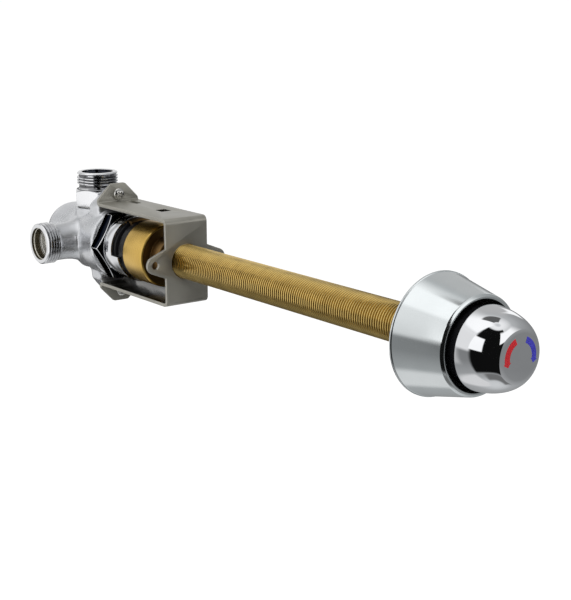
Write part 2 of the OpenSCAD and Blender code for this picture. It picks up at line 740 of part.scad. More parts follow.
// Chromed cap: quarter-ellipse dome, crowned face, hollow behind
module knob_cap() {
  start = asin(shoulder_lead / dome_ry);
  centre = [dome_inner_r, knob_rear + shoulder_lead];
  inner_start = asin(shoulder_lead / (dome_ry - knob_wall));
  face_inner = knob_edge_y + knob_wall + 0.5;
  inner_end = asin((centre.y - face_inner) / (dome_ry - knob_wall));
  inner = arc(centre, dome_rx - knob_wall, dome_ry - knob_wall, -inner_end, -inner_start, 12);
  outer = arc(centre, dome_rx, dome_ry, -start - 1.5, -dome_end, 24);
  face = [for (i = [1:6]) let (r = (knob_face_r - 0.4) * (1 - i / 6))
    [r, knob_edge_y - 0.25 - knob_crown * (1 - pow(r / knob_face_r, 2))]];
  color("silver") difference() {
    turned(concat([[0, face_inner]], inner, [[knob_r - 0.7, knob_rear]], outer,
      [[knob_face_r - 0.4, knob_edge_y - 0.25]], face));
    translate([0, knob_edge_y, 0]) arrows_recess();
    translate([0, grub_y, -knob_r - 1]) cylinder(r = grub_r + 0.4, h = knob_r);
  }
}

// Outline of an arrow: an arc band from the top down to a head, on one side
module arrow_outline(side) {
  head_a = 190;
  tip = 204;
  outer = arc([0, 0], arrow_r + arrow_w / 2, arrow_r + arrow_w / 2, 112, head_a, 12);
  inner = arc([0, 0], arrow_r - arrow_w / 2, arrow_r - arrow_w / 2, head_a, 112, 12);
  barb = [for (r = [arrow_r + arrow_w / 2 + 0.9, arrow_r - arrow_w / 2 - 0.9]) r * [cos(head_a), sin(head_a)]];
  mirror([side > 0 ? 1 : 0, 0]) polygon(concat(outer, [barb[0], arrow_r * [cos(tip), sin(tip)], barb[1]], inner));
}

function arrow_front() = -0.25 - knob_crown * (1 - pow((arrow_r - arrow_w / 2) / knob_face_r, 2)) - arrow_proud;

module arrows_recess() {
  for (side = [-1, 1]) plate_y(-2, arrow_front() + arrow_t) arrow_outline(side);
}

module arrow(side) translate([0, knob_edge_y, 0])
  plate_y(arrow_front(), arrow_front() + arrow_t) arrow_outline(side);

// Red inlay that shows the turn to hot, and blue inlay that shows the turn to cold
module hot_arrow() color("crimson") arrow(-1);
module cold_arrow() color("mediumblue") arrow(1);

// Black carrier inside the cap, with the sleeve that shows in the gap behind it
module knob_carrier() {
  depth = carrier_plug + shoulder_lead;
  plug_r = dome_inner_r + (dome_rx - knob_wall) * cos(asin(depth / (dome_ry - knob_wall))) - 0.1;
  rear = knob_rear + sleeve_len;
  web_y = knob_rear - carrier_plug;
  hole = rod_r + seat_fit;
  color([0.08, 0.08, 0.09]) difference() {
    turned([[0, carrier_hub_front], [carrier_hub_r, carrier_hub_front], [carrier_hub_r, web_y],
      [plug_r, web_y], [plug_r, knob_rear], [sleeve_r, knob_rear], [sleeve_r, rear],
      [sleeve_r - sleeve_wall, rear], [sleeve_r - sleeve_wall, web_y + carrier_web],
      [carrier_hub_r, web_y + carrier_web], [carrier_hub_r, carrier_hub_rear], [hole, carrier_hub_rear],
      [hole, rod_front - 0.1], [0, rod_front - 0.1]]);
    translate([0, grub_y, -carrier_hub_r - 1]) cylinder(r = grub_r + seat_fit, h = carrier_hub_r);
  }
}

// Grub screw that clamps the carrier on the rod
module knob_grub_screw() {
  color("dimgray") translate([0, grub_y, 0]) difference() {
    translate([0, 0, -carrier_hub_r + 0.2]) cylinder(r = grub_r, h = carrier_hub_r - 0.2 - rod_r - 0.05);
    translate([0, 0, -carrier_hub_r]) hex_bar(1.5, 2);
  }
}

// Rod from the knob to the piston, with the hexagon that slides in the driver
module control_rod() {
  color("goldenrod") union() {
    bar_y(rod_r, rod_front, rod_hex_y + 1);
    translate([0, rod_hex_y, 0]) rotate([-90, 0, 0]) hex_bar(rod_hex, rod_hex_len);
    bar_y(rod_tail_r, rod_hex_end - 1, spring_y + piston_nut_h + 1.5);
  }
}

// Piston: disc with four guide ribs
module piston() {
  disc_y = piston_y + seal_t;
  color("peru") difference() {
    union() {
      bar_y(seal_r + 0.4, disc_y, spring_y);
      intersection() {
        plate_y(disc_y, spring_y + piston_rib) for (a = [45, 135]) rotate(a)
          square([4 * journal_r, 2.4], center = true);
        turned([[seal_r, disc_y], [journal_r - 0.3, disc_y], [journal_r - 0.3, spring_y + piston_rib],
          [spring_r + spring_wire + 0.6, spring_y + piston_rib], [spring_r + spring_wire + 0.6, spring_y - 1],
          [seal_r, spring_y - 1]]);
      }
    }
    bar_y(rod_tail_r + seat_fit, disc_y - 1, spring_y + 1);
  }
}

// Rubber washer that closes the seat
module piston_seal() {
  color("black") difference() {
    bar_y(seal_r, piston_y, piston_y + seal_t);
    bar_y(rod_tail_r + seat_fit, piston_y - 1, piston_y + seal_t + 1);
  }
}

// Nut that holds the piston on the rod
module piston_nut() {
  color("gold") difference() {
    translate([0, spring_y, 0]) rotate([-90, 0, 0]) hex_bar(10, piston_nut_h);
    bar_y(rod_tail_r + seat_fit, spring_y - 1, spring_y + piston_nut_h + 1);
  }
}

// Spring that closes the piston and brings the knob back
module return_spring() {
  color("gainsboro") translate([0, spring_y, 0]) rotate([-90, 0, 0])
    coil(spring_r, spring_wire, spring_len, 5, 20);
}

valve_body();
outlet_nipple();
outlet_gasket();
bonnet_nut();
stop_collar();
head_ring();
brass_cap();
threaded_tube();
wall_flange();
guide_bush();
bracket();
bracket_screw_top();
bracket_screw_bottom();
cartridge_housing();
cartridge_end_cap();
cartridge_seals();
valve_seat();
inlet_sleeve_left();
inlet_sleeve_right();
inlet_filter_left();
inlet_filter_right();
check_valve_left();
check_valve_right();
check_poppet_left();
check_poppet_right();
check_spring_left();
check_spring_right();
inlet_clip_left();
inlet_clip_right();
driver();
stop_key();
mixing_drum();
knob_cap();
hot_arrow();
cold_arrow();
knob_carrier();
knob_grub_screw();
control_rod();
piston();
piston_seal();
piston_nut();
return_spring();
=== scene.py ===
# %% [markdown]
# A push-button shower mixer that is fed through the wall. The valve, its bracket and the threaded tube
# are hidden in a real bathroom; only the conical flange and the chromed knob are seen from the room.
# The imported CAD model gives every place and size. This script gives the finishes, the pipe threads,
# the soft edges and the studio. Pieces are measured in millimetres, which MM turns into Blender's metres.
# The camera and the studio are placed in metres.

# %% Load the frame
import json
import math
import bmesh
import bpy
from mathutils import Matrix, Vector


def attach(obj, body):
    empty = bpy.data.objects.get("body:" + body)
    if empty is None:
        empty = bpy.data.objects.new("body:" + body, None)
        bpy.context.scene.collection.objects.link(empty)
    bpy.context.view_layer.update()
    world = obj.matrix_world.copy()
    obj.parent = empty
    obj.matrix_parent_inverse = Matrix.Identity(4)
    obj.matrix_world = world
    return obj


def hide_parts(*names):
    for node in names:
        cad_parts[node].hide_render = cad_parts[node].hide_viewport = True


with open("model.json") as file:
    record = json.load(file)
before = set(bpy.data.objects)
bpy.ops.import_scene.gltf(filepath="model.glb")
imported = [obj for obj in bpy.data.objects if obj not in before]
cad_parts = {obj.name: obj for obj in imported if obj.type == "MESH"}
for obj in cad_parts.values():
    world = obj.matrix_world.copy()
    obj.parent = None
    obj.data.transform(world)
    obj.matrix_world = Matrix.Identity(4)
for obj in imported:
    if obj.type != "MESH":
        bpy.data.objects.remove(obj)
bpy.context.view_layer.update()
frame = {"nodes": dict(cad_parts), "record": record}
CAD = frame["nodes"]
BODY_OF = {n: b for b, names in frame["record"]["behaviour"]["bodies"].items() for n in names}
SLOT_OF = {s["node"]: s["material_slot"] for s in frame["record"]["subparts"]}
MM = 0.001

# %% [markdown]
# The camera comes first. It could be placed by eye, but a small turn moves every edge, so it was fitted to
# the edges and circles of the real object in the photograph. That frame is 571 by 600, so the lens below
# goes with Blender's 36 mm sensor on the longer side, the height.

# %% Camera
FOCAL_PIXELS, FRAME_HEIGHT, SENSOR = 1402.2, 600, 36
AZIMUTH, ELEVATION, ROLL = (math.radians(d) for d in (-36.9, 13.12, -0.21))
CAMERA_PLACE = (-0.4509, -0.6994, 0.1693)


def linked(name, data):
    """A new object of some data, put in the scene."""
    obj = bpy.data.objects.new(name, data)
    bpy.context.scene.collection.objects.link(obj)
    return obj


bpy.context.scene.view_settings.view_transform = "Standard"
back = Vector((math.sin(AZIMUTH) * math.cos(ELEVATION), -math.cos(AZIMUTH) * math.cos(ELEVATION),
               math.sin(ELEVATION)))
level = Vector((math.cos(AZIMUTH), math.sin(AZIMUTH), 0))
right = level * math.cos(ROLL) + back.cross(level) * math.sin(ROLL)
upward = back.cross(right)
camera = linked("camera", bpy.data.cameras.new("camera"))
camera.matrix_world = Matrix.Translation(CAMERA_PLACE) @ Matrix((right, upward, back)).transposed().to_4x4()
camera.data.sensor_width = SENSOR
camera.data.lens = FOCAL_PIXELS / FRAME_HEIGHT * SENSOR
camera.data.clip_start, camera.data.clip_end = 0.01, 200
bpy.context.scene.camera = camera
print("camera lens", round(camera.data.lens, 2))

# %% [markdown]
# A finish could be a picture wrapped round a piece. Here each one is a small graph of shader nodes on
# Object coordinates instead: it needs no unwrapping, its grain has a real size, and it stays on the piece
# when the piece moves. A few helpers wire the nodes up; the recipes follow.

# %% Shader helpers
MATERIALS = {}


def new_graph(name):
    """A new material with its node tree and its main shader."""
    material = bpy.data.materials.new(name)
    material.use_nodes = True
    MATERIALS[name] = material
    tree = material.node_tree
    return material, tree, tree.nodes["Principled BSDF"]


def add(tree, kind, inputs=(), **settings):
    """Adds a node; an input may be a value or another node's output socket."""
    made = tree.nodes.new(kind)
    for key, value in settings.items():
        setattr(made, key, value)
    for key, value in dict(inputs).items():
        if isinstance(value, bpy.types.NodeSocket):
            tree.links.new(value, made.inputs[key])
        else:
            made.inputs[key].default_value = value
    return made


def maths(tree, operation, a, b=0.0, **settings):
    """The result of one sum on two values or sockets."""
    return add(tree, "ShaderNodeMath", {0: a, 1: b}, operation=operation, **settings).outputs[0]


def grain(tree, scale, detail, vector=None):
    """Noise on Object coordinates in metres, so a scale of 1000 has grains of about a millimetre."""
    if vector is None:
        vector = add(tree, "ShaderNodeTexCoord").outputs["Object"]
    return add(tree, "ShaderNodeTexNoise", {"Vector": vector, "Scale": scale, "Detail": detail}).outputs["Fac"]


def spread(tree, factor, low, high):
    """Stretches the middle of a noise, where most of it lies, over a range."""
    return add(tree, "ShaderNodeMapRange", {"Value": factor, "From Min": 0.3, "From Max": 0.7,
                                            "To Min": low, "To Max": high}).outputs["Result"]


def tint(tree, factor, dark, light):
    """A colour between two, by a factor."""
    mix = add(tree, "ShaderNodeMix", data_type="RGBA")
    tree.links.new(factor, mix.inputs[0])
    mix.inputs[6].default_value = (*dark, 1)
    mix.inputs[7].default_value = (*light, 1)
    return mix.outputs[2]


def bump(tree, shader, height, distance_mm):
    made = add(tree, "ShaderNodeBump", {"Height": height, "Distance": distance_mm * MM, "Strength": 1.0})
    tree.links.new(made.outputs["Normal"], shader.inputs["Normal"])


def coloured(tree, shader, colour_factor, rough_factor, dark, light, rough):
    """Sets the base colour and the roughness, each between two values by its own factor."""
    tree.links.new(tint(tree, colour_factor, dark, light), shader.inputs["Base Color"])
    tree.links.new(spread(tree, rough_factor, *rough), shader.inputs["Roughness"])


def out_from_axis(tree, axis, centre=(0, 0)):
    """The distance from a line along an axis, in metres, and the coordinates. The line's place is in mm."""
    xyz = add(tree, "ShaderNodeSeparateXYZ", {0: add(tree, "ShaderNodeTexCoord").outputs["Object"]}).outputs
    squares = []
    for side, middle in zip([a for a in "XYZ" if a != axis], centre):
        off = maths(tree, "SUBTRACT", xyz[side], middle * MM)
        squares.append(maths(tree, "MULTIPLY", off, off))
    return maths(tree, "SQRT", maths(tree, "ADD", *squares)), xyz


# %% [markdown]
# Metals: a mirror plate shows the room and little else, so it gets only a faint unevenness. The casting
# was blasted before plating, which leaves a soft satin skin. The bracket is zinc-plated sheet with a warm
# passivation. Brass is turned and shows the tool's fine rings: its noise is read on coordinates that only
# change along the tube and away from its axis. A thread is darker towards its root, as painted shade in its
# groove, and bright on its crest. Plastics and rubber share one recipe, with a moulded texture. A recipe is a
# function, so two finishes of one kind differ only in their numbers, and a colour that looks wrong is mended in
# one line.

# %% Recipes
def plated(name, dark, light, rough, pits=0.0, pit_scale=2500.0, cloud=60.0, metal=1.0, rim=1.0):
    """Plate or bare metal. rim dims the sheen that a metal has at a grazing angle."""
    material, tree, shader = new_graph(name)
    shader.inputs["Metallic"].default_value = metal
    shader.inputs["Specular Tint"].default_value = (rim, rim, rim, 1)
    clouds = grain(tree, cloud, 4.0)
    coloured(tree, shader, spread(tree, clouds, 0, 1), clouds, dark, light, rough)
    if pits:
        bump(tree, shader, grain(tree, pit_scale, 2.0), pits)
    return material


def turned_metal(name, dark, light, rough, depth):
    """Bare metal with the fine rings of a lathe tool, cut to a depth in mm."""
    material, tree, shader = new_graph(name)
    shader.inputs["Metallic"].default_value = 1
    radius, xyz = out_from_axis(tree, "Y")
    place = add(tree, "ShaderNodeCombineXYZ", {"X": radius, "Y": xyz["Y"]}).outputs[0]
    rings = grain(tree, 6000.0, 2.0, place)
    coloured(tree, shader, spread(tree, grain(tree, 90.0, 4.0), 0, 1), rings, dark, light, rough)
    bump(tree, shader, rings, depth)
    return material


def threaded(name, axis, centre, root_r, crest_r, dark, light, rough):
    """A finish that goes from dark to light between a thread's root and its crest: the dark root is painted shade
    in the groove.
    """
    material, tree, shader = new_graph(name)
    shader.inputs["Metallic"].default_value = 1
    radius, _ = out_from_axis(tree, axis, centre)
    # Painted shade: the colour darkens towards the root, where the groove is in shade.
    edge_or_crest = add(tree, "ShaderNodeMapRange", {"Value": radius, "From Min": root_r * MM, "From Max": crest_r * MM})
    clouds = grain(tree, 150.0, 4.0)
    height = maths(tree, "MULTIPLY", edge_or_crest.outputs[0], spread(tree, clouds, 0.7, 1.0))
    coloured(tree, shader, height, clouds, dark, light, rough)
    bump(tree, shader, grain(tree, 3000.0, 2.0), 0.01)
    return material


def moulded(name, dark, light, rough, texture=0.02, scale=4000.0, shine=0.5):
    """Plastic, rubber or enamel."""
    material, tree, shader = new_graph(name)
    shader.inputs["Specular IOR Level"].default_value = shine
    clouds = grain(tree, 120.0, 4.0)
    coloured(tree, shader, spread(tree, clouds, 0, 1), clouds, dark, light, rough)
    bump(tree, shader, grain(tree, scale, 2.0), texture)
    return material


# %% Chrome and zinc
mirror_chrome = plated("mirror chrome", (0.80, 0.81, 0.83), (0.86, 0.87, 0.89), (0.02, 0.05))
flange_chrome = plated("buffed chrome", (0.775, 0.815, 0.825), (0.835, 0.875, 0.885), (0.10, 0.15))
blasted_chrome = plated("blasted chrome casting", (0.65, 0.66, 0.68), (0.71, 0.72, 0.74), (0.26, 0.30), metal=0.9)
milled_chrome = plated("milled and plated", (0.84, 0.845, 0.86), (0.90, 0.905, 0.92), (0.16, 0.24))
# Painted reflection and painted shade: chrome darkened in its colour, with its grazing sheen dimmed, so the nut's
# faces stand for the dark things they mirror and the outlet's water way for the shade in it.
painted_dark_chrome = plated("chrome with painted dark reflection", (0.018, 0.020, 0.026), (0.034, 0.037, 0.046), (0.07, 0.13), rim=0.15)
# Painted shade: the flange's inside is left rough and darkened to stand for the shade in its mouth.
flange_inside_in_painted_shade = plated("rough inside with painted shade", (0.085, 0.085, 0.085), (0.14, 0.14, 0.14), (0.36, 0.48),
                       pits=0.004, metal=0.6)
zinc_sheet = plated("passivated zinc sheet", (0.29, 0.28, 0.245), (0.35, 0.34, 0.30), (0.30, 0.40),
                    pits=0.004, pit_scale=2600.0, cloud=45.0, metal=0.7)
# Painted shade: the sheet is darkened inside the bracket's fold, under its flanges and in its holes, where shade
# falls.
zinc_with_painted_shade = plated("zinc sheet with painted shade", (0.15, 0.14, 0.12), (0.21, 0.20, 0.175), (0.16, 0.26),
                     pits=0.010, pit_scale=2600.0, cloud=45.0)
zinc_edge = plated("cut edge of the sheet", (0.64, 0.62, 0.55), (0.74, 0.72, 0.65), (0.24, 0.34), pits=0.01)
screw_zinc = plated("screw plating", (0.62, 0.61, 0.58), (0.74, 0.73, 0.70), (0.05, 0.09))
strainer_steel = plated("strainer steel", (0.66, 0.65, 0.62), (0.76, 0.75, 0.72), (0.20, 0.30), pits=0.006)
spring_steel = plated("spring wire", (0.86, 0.83, 0.74), (0.92, 0.89, 0.80), (0.16, 0.24), pits=0.004)
dark_steel = plated("blackened steel", (0.03, 0.03, 0.032), (0.05, 0.05, 0.053), (0.30, 0.42), pits=0.006)
print(len(MATERIALS), "plated finishes and steels")

# %% Brass and threads
PORT_Y, PORT_R, PORT_ROOT = 106.2, 13.22, 12.06
TUBE_R, TUBE_ROOT, TUBE_BORE = 10.4775, 9.5, 7.3
cap_brass = turned_metal("turned brass", (0.66, 0.425, 0.10), (0.78, 0.52, 0.145), (0.24, 0.34), 0.004)
# Painted shade: this brass is darkened to stand for the shade inside the bracket, on the cap's front face and hub
# and on the other brass pieces; it is also rougher, being left unpolished.
brass_in_painted_shade = turned_metal("rough brass with painted shade", (0.20, 0.12, 0.045), (0.28, 0.17, 0.065), (0.32, 0.44), 0.006)
# Painted shade: the casting's bores are bare brass darkened to stand for the shade inside them.
bore_in_painted_shade = plated("brass bore with painted shade", (0.09, 0.075, 0.05), (0.15, 0.13, 0.09), (0.20, 0.30), pits=0.01)
# The dark colours of the threads below are painted shade in their roots; the light ones are the metals' own.
tube_brass = threaded("threaded brass", "Y", (0, 0), TUBE_ROOT, TUBE_ROOT + 0.95,
                      (0.17, 0.105, 0.025), (0.84, 0.60, 0.20), (0.15, 0.24))
port_thread, outlet_thread = (
    threaded(name, axis, centre, PORT_ROOT - 0.1, PORT_ROOT + 0.45,
             (0.06, 0.06, 0.065), (0.90, 0.905, 0.92), (0.08, 0.14))
    for name, axis, centre in (("inlet thread", "X", (PORT_Y, 0)), ("outlet thread", "Z", (0, PORT_Y))))
print(len(MATERIALS), "finishes with brass and threads")

# %% Plastics, rubber and inlays
head_black = moulded("black head", (0.004, 0.004, 0.005), (0.008, 0.008, 0.009), (0.24, 0.34),
                     texture=0.002, shine=0.18)
cartridge_black = moulded("cartridge plastic", (0.006, 0.006, 0.007), (0.012, 0.012, 0.013), (0.34, 0.46),
                          texture=0.004, shine=0.2)
seal_black = moulded("nitrile rubber", (0.012, 0.012, 0.012), (0.022, 0.022, 0.022), (0.55, 0.70),
                     texture=0.03, scale=2500.0, shine=0.3)
gasket_fibre = moulded("fibre gasket", (0.42, 0.42, 0.41), (0.50, 0.50, 0.49), (0.60, 0.75), scale=1800.0)
acetal = moulded("natural acetal", (0.72, 0.71, 0.66), (0.82, 0.81, 0.76), (0.35, 0.45))
hot_red = moulded("red inlay", (0.42, 0.006, 0.012), (0.50, 0.012, 0.02), (0.28, 0.36), texture=0.004)
cold_blue = moulded("blue inlay", (0.028, 0.026, 0.34), (0.04, 0.038, 0.42), (0.28, 0.36), texture=0.004)

# %% A finish for each slot
SLOT_FINISH = {
    "casting": blasted_chrome, "nipple": milled_chrome, "gasket": gasket_fibre, "nut": painted_dark_chrome,
    "collar": mirror_chrome, "head": head_black, "brass": brass_in_painted_shade, "tube": tube_brass,
    "flange": flange_chrome, "bush": head_black, "bracket": zinc_sheet, "screw": screw_zinc,
    "cartridge": cartridge_black, "seal": seal_black, "strainer": strainer_steel, "check": acetal,
    "spring": spring_steel, "knob": mirror_chrome, "red": hot_red, "blue": cold_blue, "steel": dark_steel,
}
for name, obj in CAD.items():
    obj.data.materials.clear()
    obj.data.materials.append(SLOT_FINISH[SLOT_OF[name]])
print(len(MATERIALS), "finishes for", len(SLOT_FINISH), "slots")

# %% [markdown]
# Three ways of making a piece are used again and again: a profile turned round the tube's axis, a
# cleaned copy of a CAD node with its hard edges softened, and a pipe thread from Geometry Nodes. They could
# be modelled by hand, but a function takes its sizes from the CAD model and gives the same piece each time.
# Each ends as a plain mesh at the origin, because the CAD bodies carry it from there.

# %% Finished meshes
EDGE_ANGLE = math.radians(35)


def keep(mesh, name, node, sharp=38.0):
    """Makes an object of a finished mesh, and lets it stand for a CAD node on that node's body."""
    obj = linked(name, mesh)
    mesh.shade_smooth()
    mesh.set_sharp_from_angle(angle=math.radians(sharp))
    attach(obj, BODY_OF[node])
    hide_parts(node)
    print(name, len(mesh.polygons), "faces")


def dress(mesh, *finishes, choose=None):
    """Gives a mesh its finishes. choose says which one a face takes, from its middle in mm and its normal."""
    mesh.materials.clear()
    for finish in finishes:
        mesh.materials.append(finish)
    for polygon in mesh.polygons:
        polygon.material_index = choose(polygon.center / MM, polygon.normal) if choose else 0
    return mesh


def mesh_of(bm, name):
    """The mesh of a bmesh, which is then let go."""
    mesh = bpy.data.meshes.new(name)
    bm.to_mesh(mesh)
    bm.free()
    return mesh


# %% Turned profiles
def round_corners(points, radii, steps):
    """Rounds each corner of a closed outline by its own radius."""
    outline = []
    for i, point in enumerate(points):
        p, before, after = (Vector(points[k % len(points)]) for k in (i, i - 1, i + 1))
        a, b = (before - p).normalized(), (after - p).normalized()
        half = a.angle(b) / 2
        r = min(radii[i], 0.45 * math.tan(half) * min((before - p).length, (after - p).length))
        if r < 1e-4 or half > 1.55:
            outline.append(tuple(p))
            continue
        centre = p + (a + b).normalized() * r / math.sin(half)
        start, end = p + a * r / math.tan(half) - centre, p + b * r / math.tan(half) - centre
        turn = math.atan2(start.x * end.y - start.y * end.x, start.dot(end))
        for k in range(steps + 1):
            s, c = math.sin(turn * k / steps), math.cos(turn * k / steps)
            outline.append((centre.x + start.x * c - start.y * s, centre.y + start.x * s + start.y * c))
    return outline


def turned(outline, segments):
    """Turns a closed outline of (radius, y) round the tube's axis into a mesh."""
    bm = bmesh.new()
    rings = []
    for r, y in outline:
        if r < 1e-6:
            rings.append([bm.verts.new((0, y * MM, 0))] * segments)
        else:
            angles = [2 * math.pi * k / segments for k in range(segments)]
            rings.append([bm.verts.new((r * MM * math.cos(a), y * MM, r * MM * math.sin(a))) for a in angles])
    for one, two in zip(rings, rings[1:] + rings[:1]):
        for k in range(segments):
            n = (k + 1) % segments
            corners = list(dict.fromkeys((one[k], one[n], two[n], two[k])))
            if len(corners) > 2:
                bm.faces.new(corners)
    bmesh.ops.recalc_face_normals(bm, faces=bm.faces)
    return mesh_of(bm, "turned")


# %% Copies of CAD nodes
def merged_copy(node):
    """A copy of a CAD node's mesh with its loose triangles joined and flat faces made whole."""
    bm = bmesh.new()
    bm.from_mesh(CAD[node].data)
    bmesh.ops.remove_doubles(bm, verts=bm.verts, dist=0.002 * MM)
    bmesh.ops.dissolve_limit(bm, angle_limit=math.radians(0.5), verts=bm.verts, edges=bm.edges)
    return mesh_of(bm, node)


def applied(obj):
    """The object's mesh with its modifiers applied; the object itself is removed."""
    depsgraph = bpy.context.evaluated_depsgraph_get()
    mesh = bpy.data.meshes.new_from_object(obj.evaluated_get(depsgraph))
    bpy.data.objects.remove(obj)
    return mesh


def with_modifiers(mesh, *modifiers):
    """The mesh that a stack of modifiers makes of another one."""
    obj = linked("working", mesh)
    for kind, settings in modifiers:
        modifier = obj.modifiers.new(kind, kind)
        for key, value in settings.items():
            setattr(modifier, key, value)
    bpy.context.view_layer.update()
    return applied(obj)


def bevelled(mesh, width, **settings):
    """The mesh with a small rolled edge, a width in mm, wherever two faces meet sharply."""
    return with_modifiers(mesh, ("BEVEL", {"width": width * MM, "segments": 2, "limit_method": "ANGLE",
                                           "angle_limit": EDGE_ANGLE, **settings}))


def soft_edged(node, name, width, edge_or_crest=None, shaded=None, choose=None):
    """A CAD node with soft edges. The edges may have a brighter finish of their own, and some faces a darker one,
    which on the bracket is painted shade.
    """
    main = SLOT_FINISH[SLOT_OF[node]]
    mesh = dress(merged_copy(node), main, edge_or_crest or main, shaded or main, choose=choose)
    keep(bevelled(mesh, width, material=1), name, node)


# %% [markdown]
# A pipe thread is one ridge wound along a tube. A bump in the finish could fake it, but its crests show in
# the outline, so it is real geometry. The tree sweeps a flat-topped ridge along a spiral, and the tube's
# wall, a long rectangle, round a circle. Its inputs are the sizes a lathe hand would ask for, so the same
# tree cuts the half-inch tube and the three-quarter-inch ports, which have the same pitch. Across a
# swept profile X runs towards the axis, so what stands proud of the wall is negative.

# %% Thread tree
PITCH, TURN_STEPS = 1.814, 48
RIDGE_FOOT, RIDGE_TOP, RIDGE_SUNK = 0.46, 0.17, 0.1
SIZES = (("Crest Radius", "Float"), ("Root Radius", "Float"), ("Bore Radius", "Float"), ("Length", "Float"),
         ("Pitch", "Float"), ("Steps", "Int"), ("Finish", "Material"))


def thread_tree():
    """The Geometry Nodes tree of a threaded tube that stands on Z."""
    tree = bpy.data.node_groups.new("pipe thread", "GeometryNodeTree")
    for name, kind in SIZES:
        tree.interface.new_socket(name, in_out="INPUT", socket_type="NodeSocket" + kind)
    tree.interface.new_socket("Geometry", in_out="OUTPUT", socket_type="NodeSocketGeometry")
    given = tree.nodes.new("NodeGroupInput").outputs
    pitch, root, steps = given["Pitch"], given["Root Radius"], given["Steps"]

    def point(across, along):
        return add(tree, "ShaderNodeCombineXYZ", {"X": across, "Y": along}).outputs[0]

    def swept(path, corners):
        flat = add(tree, "GeometryNodeCurvePrimitiveQuadrilateral", mode="POINTS")
        for corner, socket in zip(corners, [s for s in flat.inputs if s.name.startswith("Point")]):
            tree.links.new(corner, socket)
        upright = add(tree, "GeometryNodeSetCurveNormal", {"Curve": path}, mode="Z_UP")
        return add(tree, "GeometryNodeCurveToMesh", {
            "Curve": upright.outputs[0], "Profile Curve": flat.outputs[0], "Fill Caps": True}).outputs[0]

    wound = maths(tree, "SUBTRACT", given["Length"], pitch)
    spiral = add(tree, "GeometryNodeCurveSpiral", {
        "Resolution": steps, "Rotations": maths(tree, "DIVIDE", wound, pitch), "Start Radius": root,
        "End Radius": root, "Height": wound})
    half_a_pitch = add(tree, "ShaderNodeCombineXYZ", {"Z": maths(tree, "MULTIPLY", pitch, 0.5)})
    lifted = add(tree, "GeometryNodeTransform", {"Geometry": spiral.outputs[0],
                                                 "Translation": half_a_pitch.outputs[0]})
    proud = maths(tree, "SUBTRACT", root, given["Crest Radius"])
    foot, top = ([maths(tree, "MULTIPLY", pitch, share * sign) for sign in (1.0, -1.0)]
                 for share in (RIDGE_FOOT, RIDGE_TOP))
    ridge = swept(lifted.outputs[0], [point(RIDGE_SUNK * MM, foot[0]), point(proud, top[0]),
                                      point(proud, top[1]), point(RIDGE_SUNK * MM, foot[1])])
    circle = add(tree, "GeometryNodeCurvePrimitiveCircle", {"Resolution": steps, "Radius": root}, mode="RADIUS")
    bore = maths(tree, "SUBTRACT", given["Bore Radius"], root)
    end = maths(tree, "MULTIPLY", given["Length"], -1.0)
    tube = swept(circle.outputs[0], [point(0.0, 0.0), point(0.0, end), point(bore, end), point(bore, 0.0)])
    joined = add(tree, "GeometryNodeJoinGeometry")
    for part in (tube, ridge):
        tree.links.new(part, joined.inputs[0])
    solid = add(tree, "GeometryNodeRealizeInstances", {"Geometry": joined.outputs[0]})
    dressed = add(tree, "GeometryNodeSetMaterial", {"Geometry": solid.outputs[0], "Material": given["Finish"]})
    tree.links.new(dressed.outputs[0], tree.nodes.new("NodeGroupOutput").inputs[0])
    return tree


THREAD = thread_tree()
SOCKET = {s.name: s.identifier for s in THREAD.interface.items_tree if s.in_out == "INPUT"}
print("thread tree with", len(THREAD.nodes), "nodes")


# %% Threads in their places
def cleaned(mesh):
    """Joins doubles and turns every closed skin outwards."""
    bm = bmesh.new()
    bm.from_mesh(mesh)
    bmesh.ops.remove_doubles(bm, verts=bm.verts, dist=0.001 * MM)
    bmesh.ops.recalc_face_normals(bm, faces=bm.faces)
    bm.to_mesh(mesh)
    bm.free()
    return mesh


def thread(place, crest, root, bore, length, finish):
    """A threaded tube that stands on its local Z axis, moved to its place by a matrix."""
    obj = linked("thread", bpy.data.meshes.new("thread"))
    modifier = obj.modifiers.new("thread", "NODES")
    modifier.node_group = THREAD
    values = (crest * MM, root * MM, bore * MM, length * MM, PITCH * MM, TURN_STEPS, finish)
    for (name, _), value in zip(SIZES, values):
        modifier[SOCKET[name]] = value
    mesh = applied(obj)
    mesh.transform(place)
    return cleaned(mesh)


def along(axis, start):
    """Places a piece that stands on Z along another axis of the frame, starting at a point in mm."""
    turn = Vector((0, 0, 1)).rotation_difference(Vector(axis)).to_matrix().to_4x4()
    return Matrix.Translation(Vector(start) * MM) @ turn


TUBE_FRONT, TUBE_REAR = -236.0, 33.0
tube = thread(along((0, 1, 0), (0, TUBE_FRONT, 0)), TUBE_R, TUBE_ROOT, TUBE_BORE, TUBE_REAR - TUBE_FRONT,
              tube_brass)
keep(tube, "tube_with_thread", "threaded_tube", sharp=30.0)

# %% [markdown]
# The casting. The CAD solid meets its arms and boss in hard lines, where the real one has the soft
# corners of a sand casting. A bevel along every edge is the usual way, but its width is the same all
# along, and here round faces cross at changing angles. A voxel remesh turns the solid into an even skin
# instead, and smoothing melts its corners together. The bores and the ends of the arms are then cut again,
# because those are machined.

# %% Joining and cutting
def joined_mesh(*meshes):
    """Several meshes in one."""
    bm = bmesh.new()
    for mesh in meshes:
        bm.from_mesh(mesh)
    return mesh_of(bm, "joined")


def rod(place, radius, length):
    """A plain cylinder that starts at its place, to cut with."""
    bm = bmesh.new()
    bmesh.ops.create_cone(bm, cap_ends=True, segments=96, radius1=radius * MM, radius2=radius * MM,
                          depth=length * MM, matrix=place @ Matrix.Translation((0, 0, length * MM / 2)))
    return mesh_of(bm, "rod")


